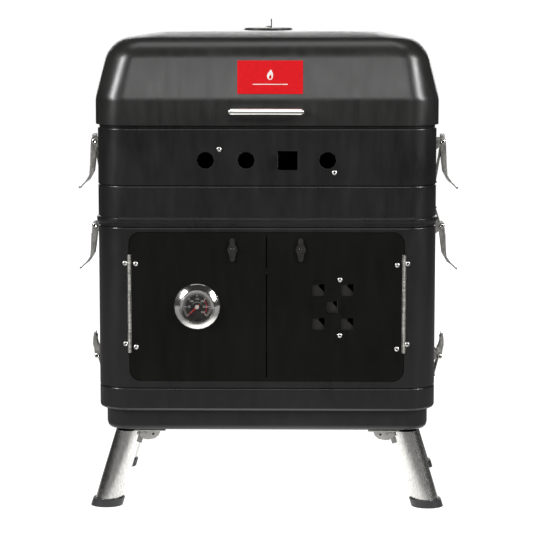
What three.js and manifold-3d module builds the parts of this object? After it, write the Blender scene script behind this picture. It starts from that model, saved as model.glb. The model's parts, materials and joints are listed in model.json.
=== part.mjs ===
// A portable charcoal smoker: a fire pan on four folding legs, a smoking chamber with two doors,
// a spacer band, a grill body with a sliding air vent, and a hinged lid. Six draw latches clamp the stack.
// Millimetres, +Z up, the front faces -Y, and the ground is z = 0.
import * as THREE from "three";
import { mergeVertices } from "three/addons/utils/BufferGeometryUtils.js";
import Module from "manifold-3d";

const wasm = await Module();
wasm.setup();

// ---------------------------------------------------------------- driving dimensions
const BODY = { width: 434, depth: 300, corner: 40 };
const SHEET = 1.5; // pressed steel thickness
const FIT = 0.4; // side gap of a spigot in the section above
const REST_GAP = 0.3; // gap between pieces that rest on each other
const CORNER_STEPS = 5;

const PAN_HEIGHT = 58;
const PAN_STEP = { inset: 9, height: 28.5, round: 8 };
const CHAMBER_HEIGHT = 207.5;
const BAND_HEIGHT = 53;
const GRILL_HEIGHT = 73;
const LID_HEIGHT = 116;
const LID_SKIRT = 33;
const LID_GAP = 3;
const LID_OVERHANG = 2.5;
const LID_DOME = 1.5;
const SPIGOT = 5; // height of the stepped rim that enters the section above
const GROUND_CLEARANCE = 102.5;

const FLOOR_Z = GROUND_CLEARANCE;
const STEP_Z = FLOOR_Z + PAN_STEP.height;
const CHAMBER_Z = FLOOR_Z + PAN_HEIGHT;
const BAND_Z = CHAMBER_Z + CHAMBER_HEIGHT;
const GRILL_Z = BAND_Z + BAND_HEIGHT;
const RIM_Z = GRILL_Z + GRILL_HEIGHT;
const LID_Z = RIM_Z + LID_GAP;
const FRONT_Y = -BODY.depth / 2;
const SIDE_X = BODY.width / 2;

const LEG = { radius: 17, wall: 1.5, splay: 17, offset: 20, fromEnd: 32, fromSide: 58, pivotDrop: 7.5 };
const FOOT = { radius: 20, height: 10, floor: 2.4 };
const DOOR = {
  sheet: 1.5, edgeGap: 0.8, middleGap: 1.4, proud: 0.6, corner: 15, fromFloor: 8.5, fromTop: 6.5,
};
const HINGE = {
  fromSide: 41.8, length: 127, radius: 1.5, pin: 0.6, leaf: 1, leafWidth: 14, bodyLeaf: 9, knuckles: 5,
};
const VENT = { pitch: 51.6, radius: 11.5, square: [26.7, 24], fromBottom: 31.6, travel: 24 };
const PORT = { size: 15.4, dx: 18.3, dz: 21.8, fromHinge: 90.7, up: 105, travel: 11, offset: [10.5, 5] };
const DIAL = { fromHinge: 86.7, up: 105.5, bezel: 29.5, window: 18.6 };
const WING = { x: 43.5, fromTop: 22.5, length: 30, width: 12.5 };

const HINGE_X = SIDE_X - HINGE.fromSide;
const PORT_X = HINGE_X - PORT.fromHinge;
const PORT_Z = CHAMBER_Z + PORT.up;
const DIAL_X = DIAL.fromHinge - HINGE_X;
const DIAL_Z = CHAMBER_Z + DIAL.up;
const LEG_X = SIDE_X - LEG.fromSide;
const LEG_Y = BODY.depth / 2 - LEG.fromEnd;

// ---------------------------------------------------------------- geometry helpers
const toSolid = (geometry) => {
  const bare = geometry.clone();
  for (const key of Object.keys(bare.attributes)) if (key !== "position") bare.deleteAttribute(key);
  const merged = mergeVertices(bare, 1e-4);
  return new wasm.Manifold(
    new wasm.Mesh({
      numProp: 3,
      vertProperties: merged.attributes.position.array,
      triVerts: new Uint32Array(merged.index.array),
    }),
  );
};

const toGeometry = (solid) => {
  const mesh = solid.getMesh();
  const positions = new Float32Array(mesh.numVert * 3);
  for (let i = 0; i < mesh.numVert; i++) {
    positions.set(mesh.vertProperties.subarray(i * mesh.numProp, i * mesh.numProp + 3), i * 3);
  }
  const geometry = new THREE.BufferGeometry();
  geometry.setAttribute("position", new THREE.BufferAttribute(positions, 3));
  geometry.setIndex(new THREE.BufferAttribute(mesh.triVerts, 1));
  geometry.computeVertexNormals();
  return geometry;
};

// The first geometry with the others joined to it, and then the cuts taken away.
const shape = (joined, cuts = []) => {
  let solid = toSolid(joined[0]);
  for (const piece of joined.slice(1)) solid = solid.add(toSolid(piece));
  for (const cut of cuts) solid = solid.subtract(toSolid(cut));
  return toGeometry(solid);
};

const box = (x0, x1, y0, y1, z0, z1) =>
  new THREE.BoxGeometry(x1 - x0, y1 - y0, z1 - z0).translate((x0 + x1) / 2, (y0 + y1) / 2, (z0 + z1) / 2);

// Cylinders along each axis, from one coordinate to another.
const rodX = (r, x0, x1, y, z, sides = 12) =>
  new THREE.CylinderGeometry(r, r, x1 - x0, sides).rotateZ(-Math.PI / 2).translate((x0 + x1) / 2, y, z);
const rodY = (r, x, y0, y1, z, sides = 12) =>
  new THREE.CylinderGeometry(r, r, y1 - y0, sides).translate(x, (y0 + y1) / 2, z);
const rodZ = (r, x, y, z0, z1, sides = 12) =>
  new THREE.CylinderGeometry(r, r, z1 - z0, sides).rotateX(Math.PI / 2).translate(x, y, (z0 + z1) / 2);

// An outline drawn in (x, z) and given a thickness from y0 to y1.
const plateY = (outline, y0, y1, curveSegments = 6) =>
  new THREE.ExtrudeGeometry(outline, { depth: y1 - y0, bevelEnabled: false, curveSegments })
    .rotateX(Math.PI / 2)
    .translate(0, y1, 0);

const roundedRect = (x0, x1, z0, z1, radii) => {
  const [bl, br, tr, tl] = radii;
  const s = new THREE.Shape();
  s.moveTo(x0 + bl, z0);
  s.lineTo(x1 - br, z0);
  if (br) s.absarc(x1 - br, z0 + br, br, -Math.PI / 2, 0);
  s.lineTo(x1, z1 - tr);
  if (tr) s.absarc(x1 - tr, z1 - tr, tr, 0, Math.PI / 2);
  s.lineTo(x0 + tl, z1);
  if (tl) s.absarc(x0 + tl, z1 - tl, tl, Math.PI / 2, Math.PI);
  s.lineTo(x0, z0 + bl);
  if (bl) s.absarc(x0 + bl, z0 + bl, bl, Math.PI, 1.5 * Math.PI);
  return s;
};

// One ring of points round a rounded rectangle, counter-clockwise from above.
const ring = (width, depth, radius, z) => {
  const points = [];
  const corners = [
    [1, 1, 0],
    [-1, 1, 1],
    [-1, -1, 2],
    [1, -1, 3],
  ];
  for (const [sx, sy, quarter] of corners) {
    for (let i = 0; i <= CORNER_STEPS; i++) {
      const a = ((quarter + i / CORNER_STEPS) * Math.PI) / 2;
      points.push([
        sx * (width / 2 - radius) + radius * Math.cos(a),
        sy * (depth / 2 - radius) + radius * Math.sin(a),
        z,
      ]);
    }
  }
  return points;
};

// Skins rings of points into a closed body.
// The section runs outwards and up on the outer side and comes back inside.
// Without closed, the first and last rings are capped at their centres, raised by the dome heights.
const skin = (rings, { closed = false, domes = [0, 0] } = {}) => {
  const count = rings[0].length;
  const positions = rings.flat(2);
  const index = [];
  const last = closed ? rings.length : rings.length - 1;
  for (let k = 0; k < last; k++) {
    const a = k * count;
    const b = ((k + 1) % rings.length) * count;
    for (let i = 0; i < count; i++) {
      const j = (i + 1) % count;
      index.push(a + i, a + j, b + j, a + i, b + j, b + i);
    }
  }
  if (!closed) {
    const ends = [0, rings.length - 1];
    ends.forEach((k, end) => {
      const centre = positions.length / 3;
      positions.push(0, 0, rings[k][0][2] + domes[end]);
      for (let i = 0; i < count; i++) {
        const j = (i + 1) % count;
        if (end === 0) index.push(centre, k * count + j, k * count + i);
        else index.push(centre, k * count + i, k * count + j);
      }
    });
  }
  const geometry = new THREE.BufferGeometry();
  geometry.setAttribute("position", new THREE.Float32BufferAttribute(positions, 3));
  geometry.setIndex(index);
  return geometry;
};

// Rings from a section of [inset, z] points, with the corners following the inset.
const bodyRings = (section, radius = BODY.corner) =>
  section.map(([inset, z]) =>
    ring(BODY.width - 2 * inset, BODY.depth - 2 * inset, Math.max(radius - inset, 2), z),
  );

// The stepped rim at the top of a section: a ledge for the section above, and a spigot that enters it.
const spigotOut = (z) => [
  [0, z - 3],
  [0.25, z - 2],
  [0.8, z - 1.1],
  [SHEET + FIT, z - REST_GAP],
  [SHEET + FIT, z + SPIGOT],
];
const spigotIn = (z) => [
  [2 * SHEET + FIT, z + SPIGOT],
  [2 * SHEET + FIT, z - REST_GAP - SHEET],
  [SHEET, z - REST_GAP - SHEET],
];

// ---------------------------------------------------------------- materials
const metal = (color, roughness, metalness) =>
  new THREE.MeshStandardMaterial({ color, roughness, metalness });
const PAINT = {
  satin: metal(0x2b2b2d, 0.45, 0.4),
  matt: metal(0x191a17, 0.7, 0.2),
  steel: metal(0xb9b7b0, 0.28, 1),
  chrome: metal(0xe3e1da, 0.12, 1),
  grey: metal(0x55544f, 0.5, 0.8),
  enamel: metal(0x1c1c1e, 0.3, 0.1),
  rubber: metal(0x17181a, 0.8, 0),
  dial: metal(0x101010, 0.6, 0),
  red: metal(0xc2202a, 0.5, 0),
  glass: new THREE.MeshStandardMaterial({
    color: 0xffffff, roughness: 0.05, transparent: true, opacity: 0.3,
  }),
};

const smoker = new THREE.Group();
const add = (name, geometry, material, parent = smoker) => {
  const mesh = new THREE.Mesh(geometry, material);
  mesh.name = name;
  parent.add(mesh);
  return mesh;
};

// A group on the left side, and its mirror image on the right.
const bothSides = (build) => {
  for (const side of ["left", "right"]) {
    const group = new THREE.Group();
    group.scale.x = side === "left" ? 1 : -1;
    smoker.add(group);
    build(side, group);
  }
};

// ---------------------------------------------------------------- draw latches
// A latch is drawn in its own frame: o is the distance out from the wall, and h the height above the
// lever's pivot.
// up says which way the wire bail reaches, and tip which way the lever points when it is closed.
const LATCH = { width: 26, plate: 1.4, ear: 1.4, leverWidth: 21, leverSheet: 1.3, wire: 1.3, pin: 2 };
const LATCHES = [
  {
    name: "upper", pivot: GRILL_Z + 46, out: 14, up: -1, tip: -1, arm: 7, reach: 62,
    leverLength: 62, flare: 15, plateEnd: 40,
  },
  {
    name: "middle", pivot: BAND_Z - 13, out: 14, up: 1, tip: -1, arm: -7, reach: 31.5,
    leverLength: 58, flare: 15, plateEnd: 40,
  },
  {
    name: "lower", pivot: CHAMBER_Z + 18.5, out: 12.5, up: -1, tip: 1, arm: 6, reach: 34,
    leverLength: 30, flare: -1.5, plateEnd: 20,
  },
];
const CATCH = { width: 9, thick: 1.4, height: 6.6 };
const BAR_OUT = 4.6; // the bail's bar, from the wall
const LEVER_HOLE_GAP = 0.35;

// An outline in (o, h), laid in the wall's frame: the left wall faces -X, so o runs to -X.
const sidePlate = (points, y0, y1, holes = []) => {
  const corners = points.map(([o, h]) => new THREE.Vector2(-o, h));
  if (THREE.ShapeUtils.isClockWise(corners)) corners.reverse();
  const outline = new THREE.Shape(corners);
  for (const [o, h, r] of holes) outline.holes.push(new THREE.Path().absarc(-o, h, r, 0, 2 * Math.PI, true));
  return plateY(outline, y0, y1, 4);
};

const latchBase = ({ out, tip, plateEnd }) => {
  const half = LATCH.width / 2;
  const towards = (h) => tip * h;
  const low = Math.min(towards(plateEnd), towards(-5));
  const high = Math.max(towards(plateEnd), towards(-5));
  const plate = box(-REST_GAP - LATCH.plate, -REST_GAP, -half, half, low, high);
  const ear = (y0, y1) =>
    sidePlate(
      [
        [REST_GAP + 0.2, towards(14)],
        [REST_GAP + 0.2, towards(-5)],
        [out + 1, towards(-4)],
        [out + 4, towards(0)],
        [out + 1, towards(4)],
      ],
      y0,
      y1,
      [[out, 0, LATCH.pin + LEVER_HOLE_GAP]],
    );
  return shape([plate, ear(-half, -half + LATCH.ear), ear(half - LATCH.ear, half)]);
};

const latchLever = ({ out, tip, arm, leverLength, flare }) => {
  const half = LATCH.leverWidth / 2;
  const towards = (h) => tip * h;
  const end = leverLength;
  const crossed = Math.sign(arm) === tip;
  // The strap's outer face, with its curl.
  // It starts past the bail's ends where the bail swings out through it.
  const curl = [[0.5, 0], [0.73, 0.08], [0.87, 0.45], [1, 1]];
  const start = crossed ? [[out + 5.2, 10.5]] : [[out + 4, -3.5], [out + 5, 6]];
  const outer = [...start, ...curl.map(([along, share]) => [out + 6 + flare * share, end * along])];
  const inner = outer.map(([o, h]) => [o - LATCH.leverSheet, h + (o > out + 10 ? 0.9 : 0)]).reverse();
  const strap = sidePlate(
    [...outer, ...inner].map(([o, h]) => [o, towards(h)]),
    -half,
    half,
  );
  const lip = rodY(1.6, -(out + 5 + flare), -half, half, towards(end - 0.4), 8);
  const side = [
    [out + 3.2, -3.5],
    [out + 4.3, 6],
    [out + 5.3, end * 0.5],
    [out + 5.3 + flare * 0.08, end * 0.73],
    [out + 5.3 + flare * 0.45, end * 0.87],
    [out + 5 + flare * 0.9, end * 0.97],
    [out + 1.4 + flare * 0.4, end * 0.84],
    [out + 1.2, end * 0.66],
    [out - 0.5, end * 0.45],
    [out - 2.5, 10],
    [out - 3.2, 0],
    [out - 2.5, -3.5],
  ].map(([o, h]) => [o, towards(h)]);
  const armTab = crossed ? [] : [[out - 2.2, arm + 2.2 * -tip], [out + 2.8, arm + 2.2 * -tip]];
  const flange = (y0, y1) =>
    sidePlate([...side, ...armTab], y0, y1, [[out + 0.6, arm, LATCH.wire + LEVER_HOLE_GAP]]);
  const stub = (y0, y1) => rodY(LATCH.pin, -out, y0, y1, 0, 8);
  const web = LATCH.leverSheet;
  const reach = LATCH.width / 2 + 0.8;
  return shape([
    strap,
    lip,
    flange(-half, -half + web),
    flange(half - web, half),
    stub(-reach, -half + 0.2),
    stub(half - 0.2, reach),
  ]);
};

const latchBail = ({ out, arm, up, reach }) => {
  const r = LATCH.wire;
  const y = LATCH.leverWidth / 2 - LATCH.leverSheet - r - 0.5;
  const from = new THREE.Vector3(-(out + 0.6), 0, arm);
  const to = new THREE.Vector3(-BAR_OUT, 0, arm + up * reach);
  const along = to.clone().sub(from);
  const leg = (side) => {
    const wire = new THREE.CylinderGeometry(r, r, along.length() + r, 6);
    wire.applyQuaternion(
      new THREE.Quaternion().setFromUnitVectors(new THREE.Vector3(0, 1, 0), along.clone().normalize()),
    );
    const middle = from.clone().add(to).multiplyScalar(0.5);
    return wire.translate(middle.x, side * y, middle.z);
  };
  const end = y + r + 0.5 + LATCH.leverSheet;
  return shape([
    leg(-1),
    leg(1),
    rodY(r, to.x, -y - r * 0.9, y + r * 0.9, to.z, 6),
    rodY(r * 0.98, from.x, y - r * 0.8, end, from.z, 6),
    rodY(r * 0.98, from.x, -end, -y + r * 0.8, from.z, 6),
  ]);
};

// The catch that a bail's bar pulls against: a plate on the wall with an upturned lip.
// It is welded to its section.
// Its outline is drawn as distance out and rise above the face that the bar rests on.
const catchPiece = ({ arm, up, reach }) => {
  const face = arm + up * (reach - LATCH.wire - 0.3);
  return sidePlate(
    [
      [-0.2, -CATCH.height],
      [CATCH.thick, -CATCH.height],
      [CATCH.thick, -2.6],
      [BAR_OUT + 1.6, -1.6],
      [BAR_OUT + 3.2, 1.4],
      [BAR_OUT + 2.1, 2],
      [BAR_OUT + 0.9, 0],
      [-0.2, 0],
    ].map(([o, rise]) => [o, face + up * rise]),
    -CATCH.width / 2,
    CATCH.width / 2,
  );
};
const catchesFor = (name, wallX) => {
  const latch = LATCHES.find((l) => l.name === name);
  const left = catchPiece(latch).translate(-wallX, 0, latch.pivot);
  const right = toGeometry(toSolid(left).mirror([1, 0, 0]));
  return [left, right];
};

bothSides((side, group) => {
  for (const latch of LATCHES) {
    const place = new THREE.Group();
    place.position.set(-SIDE_X, 0, latch.pivot);
    group.add(place);
    add(`${side}_${latch.name}_latch_base`, latchBase(latch), PAINT.steel, place);
    add(`${side}_${latch.name}_latch_lever`, latchLever(latch), PAINT.chrome, place);
    add(`${side}_${latch.name}_latch_bail`, latchBail(latch), PAINT.chrome, place);
  }
});

// ---------------------------------------------------------------- fire pan
const panSection = () => {
  const { inset, round } = PAN_STEP;
  const out = [];
  const inside = [];
  const floorIn = FLOOR_Z + SHEET;
  for (let i = 0; i <= 3; i++) {
    const a = (i / 3) * (Math.PI / 2);
    out.push([inset + round * (1 - Math.sin(a)), FLOOR_Z + round * (1 - Math.cos(a))]);
    inside.unshift([
      inset + SHEET + (round - SHEET) * (1 - Math.sin(a)),
      floorIn + (round - SHEET) * (1 - Math.cos(a)),
    ]);
  }
  out.push([inset, STEP_Z - 2], [inset - 2, STEP_Z], [2, STEP_Z], [0, STEP_Z + 2.5]);
  const ledge = [
    [SHEET, STEP_Z + 2.5 + 0.5],
    [2 + 0.6, STEP_Z + SHEET],
    [inset - 1, STEP_Z + SHEET],
    [inset + SHEET, STEP_Z - 1.5],
  ];
  return [...out, ...spigotOut(CHAMBER_Z), ...spigotIn(CHAMBER_Z), ...ledge, ...inside];
};
const panShell = skin(bodyRings(panSection()));
add("fire_pan", shape([panShell, ...catchesFor("lower", SIDE_X)]), PAINT.satin);

// ---------------------------------------------------------------- wire grates
// A grate of rods across the depth on two cross rods and a frame, inside a rounded outline.
const grate = (width, depth, z, pitch, wire) => {
  const section = [];
  const corner = BODY.corner - (BODY.width - width) / 2;
  for (let i = 0; i < 6; i++) {
    const a = -Math.PI / 2 - (i * Math.PI) / 3;
    const inset = wire + wire * Math.cos(a);
    section.push(ring(width - 2 * inset, depth - 2 * inset, corner - inset, z + wire * Math.sin(a)));
  }
  const pieces = [skin(section, { closed: true })];
  // The rods divide the width evenly. Those near the corners end on the frame's curve.
  const endX = width / 2 - wire;
  const gaps = Math.round((2 * endX) / pitch);
  for (let i = 1; i < gaps; i++) {
    const x = -endX + (2 * endX * i) / gaps;
    const bend = Math.max(0, Math.abs(x) - width / 2 + corner);
    const endY = depth / 2 - corner + Math.sqrt((corner - wire) ** 2 - bend ** 2);
    pieces.push(rodY(wire * 0.75, x, -endY, endY, z + 0.1, 5));
  }
  for (const y of [-0.27, 0.27]) pieces.push(rodX(wire * 0.75, -endX, endX, y * depth, z - wire * 0.9, 5));
  return shape(pieces);
};

const GRATE_WIRE = 2;
const panInner = (inset) => [BODY.width - 2 * inset, BODY.depth - 2 * inset];
const charcoalSize = panInner(SHEET + 2.4);
add(
  "charcoal_grate",
  grate(charcoalSize[0], charcoalSize[1], STEP_Z + SHEET + GRATE_WIRE + REST_GAP + 2.4, 32, GRATE_WIRE),
  PAINT.steel,
);

// ---------------------------------------------------------------- smoking chamber
const OPEN_X = HINGE_X + DOOR.edgeGap / 2;
const DOOR_Z = CHAMBER_Z + DOOR.fromFloor;
const DOOR_TOP = BAND_Z - DOOR.fromTop;
const WING_Z = DOOR_TOP - WING.fromTop;
const HINGE_Z = (DOOR_Z + DOOR_TOP) / 2 + 4;
const HINGE_Y = FRONT_Y - DOOR.proud;
const doorHole = (grow) => {
  const r = DOOR.corner + grow;
  return roundedRect(-OPEN_X - grow, OPEN_X + grow, DOOR_Z - grow, DOOR_TOP + grow, [r, r, r, r]);
};
const hingeNotch = (halfWidth) => [
  HINGE_Z - HINGE.length / 2 - 1,
  HINGE_Z + HINGE.length / 2 + 1,
  halfWidth,
];
const NOTCH = hingeNotch(2.6);
const RAIL = { up: [64.5, 138.5], fromEnd: 40, reach: 10.5 };
const RAIL_Z = RAIL.up.map((up) => CHAMBER_Z + up);
const RAIL_END = BODY.depth / 2 - RAIL.fromEnd;

// A rail that carries a rack or a pan: an angle spot-welded to a side wall.
const rail = (z) => [-1, 1].map((s) => {
  const wall = s * (SIDE_X - SHEET);
  const lip = s * (SIDE_X - SHEET - RAIL.reach);
  const xs = [wall + s * 0.2, lip].sort((a, b) => a - b);
  const up = [wall + s * 0.2, wall - s * 1.2].sort((a, b) => a - b);
  return [
    box(xs[0], xs[1], -RAIL_END, RAIL_END, z - 1.2, z),
    box(up[0], up[1], -RAIL_END, RAIL_END, z - 10, z - 0.6),
  ];
}).flat();

const stopLip = (z0, z1) =>
  box(-OPEN_X + DOOR.corner, OPEN_X - DOOR.corner, FRONT_Y + SHEET - 0.1, FRONT_Y + 2 * SHEET - 0.1, z0, z1);
const chamberShell = skin(
  bodyRings([[0, CHAMBER_Z], ...spigotOut(BAND_Z), ...spigotIn(BAND_Z), [SHEET, CHAMBER_Z]]),
  { closed: true },
);
const notches = [-1, 1].map((s) =>
  box(s * HINGE_X - NOTCH[2], s * HINGE_X + NOTCH[2], FRONT_Y - 3, FRONT_Y + 3, NOTCH[0], NOTCH[1]),
);
const cutChamber = shape([chamberShell], [plateY(doorHole(0), FRONT_Y - 5, FRONT_Y + 4), ...notches]);
add(
  "smoking_chamber",
  shape([
    cutChamber,
    ...RAIL_Z.flatMap(rail),
    stopLip(DOOR_TOP - 6, BAND_Z - 3),
    stopLip(CHAMBER_Z + SPIGOT + 0.6, DOOR_Z + 5),
  ], [box(-300, 300, FRONT_Y - 5, FRONT_Y + 8, CHAMBER_Z - 5, CHAMBER_Z - 0.01)]),
  PAINT.satin,
);

// Water pan on the lower rails: an open tray with a rim that lies on them.
const TRAY = { depth: 2 * RAIL_END - 4, height: 32, rim: 9 };
const traySection = (width, depth, top) => {
  const t = 1.2;
  const r = (inset, z, corner) => ring(width - 2 * inset, depth - 2 * inset, corner, z);
  return skin([
    r(TRAY.rim + 6, top - TRAY.height, 14),
    r(TRAY.rim, top - TRAY.height + 6, 18),
    r(TRAY.rim, top - t, 18),
    r(0, top - t, 22),
    r(0, top, 22),
    r(TRAY.rim + t, top, 17),
    r(TRAY.rim + t, top - TRAY.height + 6.5, 17),
    r(TRAY.rim + 6.5, top - TRAY.height + t, 13),
  ]);
};
const RACK_WIDTH = BODY.width - 2 * SHEET - 2 * 3;
add("water_pan", traySection(RACK_WIDTH, TRAY.depth, RAIL_Z[0] + 1.2 + REST_GAP), PAINT.enamel);
const ON_RAIL = 2 * GRATE_WIRE + REST_GAP + 0.4; // a grate's frame, above the rails that carry it
add(
  "smoking_rack",
  grate(RACK_WIDTH, TRAY.depth, RAIL_Z[1] + ON_RAIL, 32, GRATE_WIRE),
  PAINT.steel,
);

// ---------------------------------------------------------------- spacer band with a rolled bead
const BEAD = { out: 2.2, low: 4, high: 12 };
const bandOuter = [
  [0, BAND_Z],
  [0, BAND_Z + BEAD.low - 1],
  [-BEAD.out * 0.8, BAND_Z + BEAD.low + 0.6],
  [-BEAD.out, BAND_Z + (BEAD.low + BEAD.high) / 2],
  [-BEAD.out * 0.8, BAND_Z + BEAD.high - 1.6],
  [0, BAND_Z + BEAD.high],
];
const bandShell = skin(
  bodyRings([...bandOuter, ...spigotOut(GRILL_Z), ...spigotIn(GRILL_Z), [SHEET, BAND_Z]]),
  { closed: true },
);
add(
  "spacer_band",
  shape([bandShell, ...catchesFor("upper", SIDE_X), ...catchesFor("middle", SIDE_X)]),
  PAINT.satin,
);

// ---------------------------------------------------------------- grill body with its air vent
const VENT_Z = GRILL_Z + VENT.fromBottom;
const ventHoles = [-1.5, -0.5, 1.5].map((n) =>
  rodY(VENT.radius, n * VENT.pitch, FRONT_Y - 4, FRONT_Y + 6, VENT_Z, 20),
);
const squareX = 0.5 * VENT.pitch;
const ventSquare = box(
  squareX - VENT.square[0] / 2, squareX + VENT.square[0] / 2,
  FRONT_Y - 4, FRONT_Y + 6,
  VENT_Z - VENT.square[1] / 2, VENT_Z + VENT.square[1] / 2,
);
const GRATE_Z = RIM_Z - 12;
const grillShell = skin(
  bodyRings([[0, GRILL_Z], ...spigotOut(RIM_Z), ...spigotIn(RIM_Z), [SHEET, GRILL_Z]]),
  { closed: true },
);
add("grill_body", shape([grillShell, ...rail(GRATE_Z)], [...ventHoles, ventSquare]), PAINT.satin);
const cookingSize = panInner(SHEET + 3);
add(
  "cooking_grate",
  grate(cookingSize[0], cookingSize[1], GRATE_Z + ON_RAIL, 20, GRATE_WIRE),
  PAINT.enamel,
);

// The vent slider: a plate behind the front wall, held by two rivets in its slots, with a finger tab
// in the square hole.
const SLIDE_Y = [FRONT_Y + SHEET + REST_GAP, FRONT_Y + SHEET + REST_GAP + 1.2];
const VENT_RIVETS = [[-59.8, 14.4], [86.1, -15.1]];
const RIVET_SLOT = 2.6;
const squareEdge = squareX - VENT.square[0] / 2;
const tabX = squareEdge + 0.8;
const slider = roundedRect(-106, 114, VENT_Z - 21.5, VENT_Z + 21.5, [3, 3, 3, 3]);
for (const n of [-1.5, -0.5, 1.5]) {
  const hole = new THREE.Path().absarc(n * VENT.pitch, VENT_Z, VENT.radius - 0.6, 0, 2 * Math.PI, true);
  slider.holes.push(hole);
}
const window = [
  tabX + 1, squareX + VENT.square[0] / 2,
  VENT_Z - VENT.square[1] / 2, VENT_Z + VENT.square[1] / 2,
];
slider.holes.push(roundedRect(...window, [0, 0, 0, 0]));
for (const [x, z] of VENT_RIVETS) {
  const slot = new THREE.Path();
  slot.absarc(x - VENT.travel, VENT_Z + z, RIVET_SLOT, -Math.PI / 2, Math.PI / 2, true);
  slot.absarc(x, VENT_Z + z, RIVET_SLOT, Math.PI / 2, -Math.PI / 2, true);
  slider.holes.push(slot);
}
add(
  "vent_slider",
  shape([
    plateY(slider, ...SLIDE_Y, 5),
    box(tabX, tabX + 1.4, FRONT_Y - 7, SLIDE_Y[0] + 0.4, VENT_Z - 8, VENT_Z + 8),
  ]),
  PAINT.grey,
);

// ---------------------------------------------------------------- lid
// The lid's section: a straight skirt, a face that leans in, a rounded shoulder and a low dome.
const LEAN = 13.5;
const SHOULDER = { radius: 35, fromTop: 32.5 };
const lidProfile = (offset) => {
  const lean = THREE.MathUtils.degToRad(LEAN);
  const skirtTop = LID_Z + LID_SKIRT;
  const faceTop = LID_Z + LID_HEIGHT - SHOULDER.fromTop;
  const faceInset = (faceTop - skirtTop) * Math.tan(lean);
  const points = [[0, LID_Z], [0, skirtTop - 3], [0.9, skirtTop + 4]];
  const centre = [faceInset + SHOULDER.radius * Math.cos(lean), faceTop - SHOULDER.radius * Math.sin(lean)];
  const turn = THREE.MathUtils.degToRad(80);
  for (let i = 0; i <= 5; i++) {
    const a = lean + ((turn - lean) * i) / 5;
    points.push([centre[0] - SHOULDER.radius * Math.cos(a), centre[1] + SHOULDER.radius * Math.sin(a)]);
  }
  points.push([faceInset + 62, LID_Z + LID_HEIGHT]);
  if (!offset) return points;
  return points.map(([inset, z], i) => [
    inset + offset * (i < 4 ? 1 : 0.8 - (0.7 * (i - 3)) / 7),
    i === 0 ? z : z - offset * Math.min(1, i / 8),
  ]);
};
const LID_CORNER = BODY.corner + LID_OVERHANG;
const lidRing = ([inset, z]) =>
  ring(
    BODY.width + 2 * (LID_OVERHANG - inset),
    BODY.depth + 2 * (LID_OVERHANG - inset),
    Math.max(LID_CORNER - inset * 0.25, 24),
    z,
  );
const lidOuter = lidProfile(0).map(lidRing);
const lidInner = lidProfile(SHEET).map(lidRing);
const VENT_HOLE = { radius: 8.5, from: 19 };
const throughLid = [LID_Z + 90, LID_Z + 140];
const lidVentHoles = [-1, 1].map((s) =>
  rodZ(VENT_HOLE.radius, s * VENT_HOLE.from, 0, ...throughLid, 16),
);
const LID_TOP = LID_Z + LID_HEIGHT + LID_DOME;
const lidShell = skin([...[...lidInner].reverse(), ...lidOuter], { domes: [LID_DOME, LID_DOME] });
const SEAT_Z = LID_TOP + 0.4;
const damperSeat = rodZ(33, 0, 0, LID_TOP - 3.6, SEAT_Z, 24);
add(
  "lid",
  shape([lidShell, damperSeat], [...lidVentHoles, rodZ(2.6, 0, 0, ...throughLid, 12)]),
  PAINT.satin,
);

// The damper disc turns on the lid's top: two holes that match the lid's, and a tab to turn it by.
const damperZ = [SEAT_Z + REST_GAP, SEAT_Z + REST_GAP + 1.2];
const damperDisc = rodZ(31, 0, 0, damperZ[0], damperZ[1], 28);
const damperHoles = [-1, 1].map((s) =>
  rodZ(VENT_HOLE.radius, s * VENT_HOLE.from, 0, damperZ[0] - 1, damperZ[1] + 1, 16),
);
add(
  "lid_damper",
  shape([
    damperDisc,
    box(3.4, 4.8, -5, 5, damperZ[0] + 0.2, damperZ[1] + 12),
    rodZ(2.1, 0, 0, damperZ[0] - 3.5, damperZ[1] + 0.6, 12),
  ], damperHoles),
  PAINT.grey,
);

// The handle: a rounded bar across the front skirt on two feet.
const HANDLE = { length: 97, bar: 4.1, standOff: 26.5, z: LID_Z + 19 };
const lidFront = FRONT_Y - LID_OVERHANG;
const handleEnd = HANDLE.length / 2 - HANDLE.bar;
const barY = lidFront - HANDLE.standOff;
const handleBend = (s) =>
  new THREE.SphereGeometry(HANDLE.bar, 12, 8).translate(s * handleEnd, barY, HANDLE.z);
const handleFoot = (s) => rodY(HANDLE.bar * 0.9, s * handleEnd, barY, lidFront - REST_GAP, HANDLE.z, 12);
add(
  "lid_handle",
  shape([
    rodX(HANDLE.bar, -handleEnd, handleEnd, barY, HANDLE.z, 12),
    handleBend(-1), handleBend(1),
    handleFoot(-1), handleFoot(1),
  ]),
  PAINT.chrome,
);

// ---------------------------------------------------------------- hinges
// A leaf of a continuous hinge whose pin runs along +Z at the origin.
// The plate lies on the +X side, from out[0] to out[1] in y.
const hingeLeaf = ({ length, radius, pin, knuckles, first, out, width, start }) => {
  const step = length / knuckles;
  const pieces = [box(start, start + width, out[0], out[1], -length / 2, length / 2)];
  const reachIn = [Math.min(out[0], 0), Math.max(out[1], 0)];
  for (let k = first; k < knuckles; k += 2) {
    const z0 = -length / 2 + k * step + 0.25;
    const z1 = -length / 2 + (k + 1) * step - 0.25;
    const web = out[1] > 0 ? [radius * 0.35, reachIn[1]] : [reachIn[0], -radius * 0.35];
    pieces.push(rodZ(radius, 0, 0, z0, z1, 10), box(0.2, start + 0.6, web[0], web[1], z0, z1));
  }
  return shape(pieces, [rodZ(pin + 0.35, 0, 0, -length, length, 10)]);
};

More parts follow.
